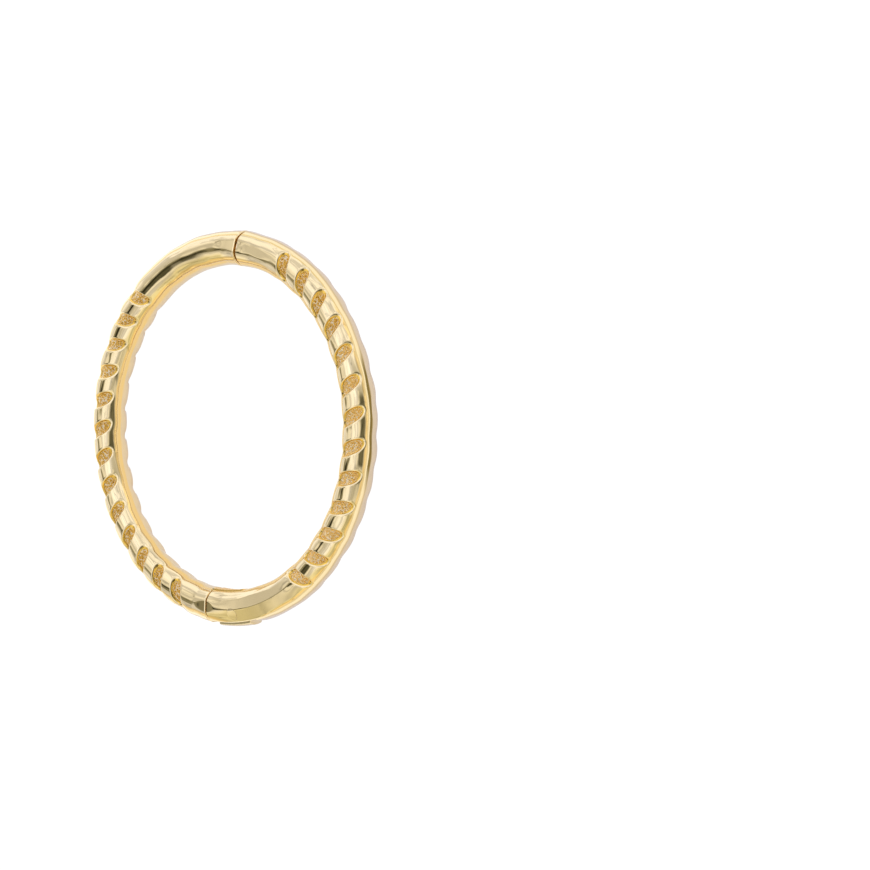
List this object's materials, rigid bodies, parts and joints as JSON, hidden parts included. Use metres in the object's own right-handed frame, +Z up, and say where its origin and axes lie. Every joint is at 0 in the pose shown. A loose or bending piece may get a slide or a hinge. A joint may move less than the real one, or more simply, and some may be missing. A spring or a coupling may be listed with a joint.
{
  "type": "rope hoop earring",
  "caption": "Hinged round-wire hoop earring with slanted rope notches on both faces, a pinned tongue hinge and a hidden peg clasp.",
  "frame": {"origin": "on the surface the hoop lies on, under the middle of the hoop", "axes": "+Z up out of the hoop's front face, +Y towards the clasp, -Y towards the hinge, +X towards the slotted half"},
  "size_m": [0.0164, 0.0165, 0.0015],
  "materials": {
    "yellow_gold": "mirror-polished pale yellow gold, with sand-frosted notch floors",
    "pin_gold": "yellow gold, filed flush and polished",
    "peg_gold": "satin yellow gold wire"
  },
  "bodies": {
    "slotted_body": {"slotted_half": "yellow_gold", "hinge_pin": "pin_gold"},
    "swing_body": {"swing_half": "yellow_gold", "clasp_peg": "peg_gold"}
  },
  "joints": [
    {"name": "hoop_hinge", "type": "hinge", "parent": "slotted_body", "child": "swing_body", "pos_m": [0.00149, -0.00766, 0.00075], "axis": [0, 0, 1], "range_deg": [0, 40]}
  ]
}
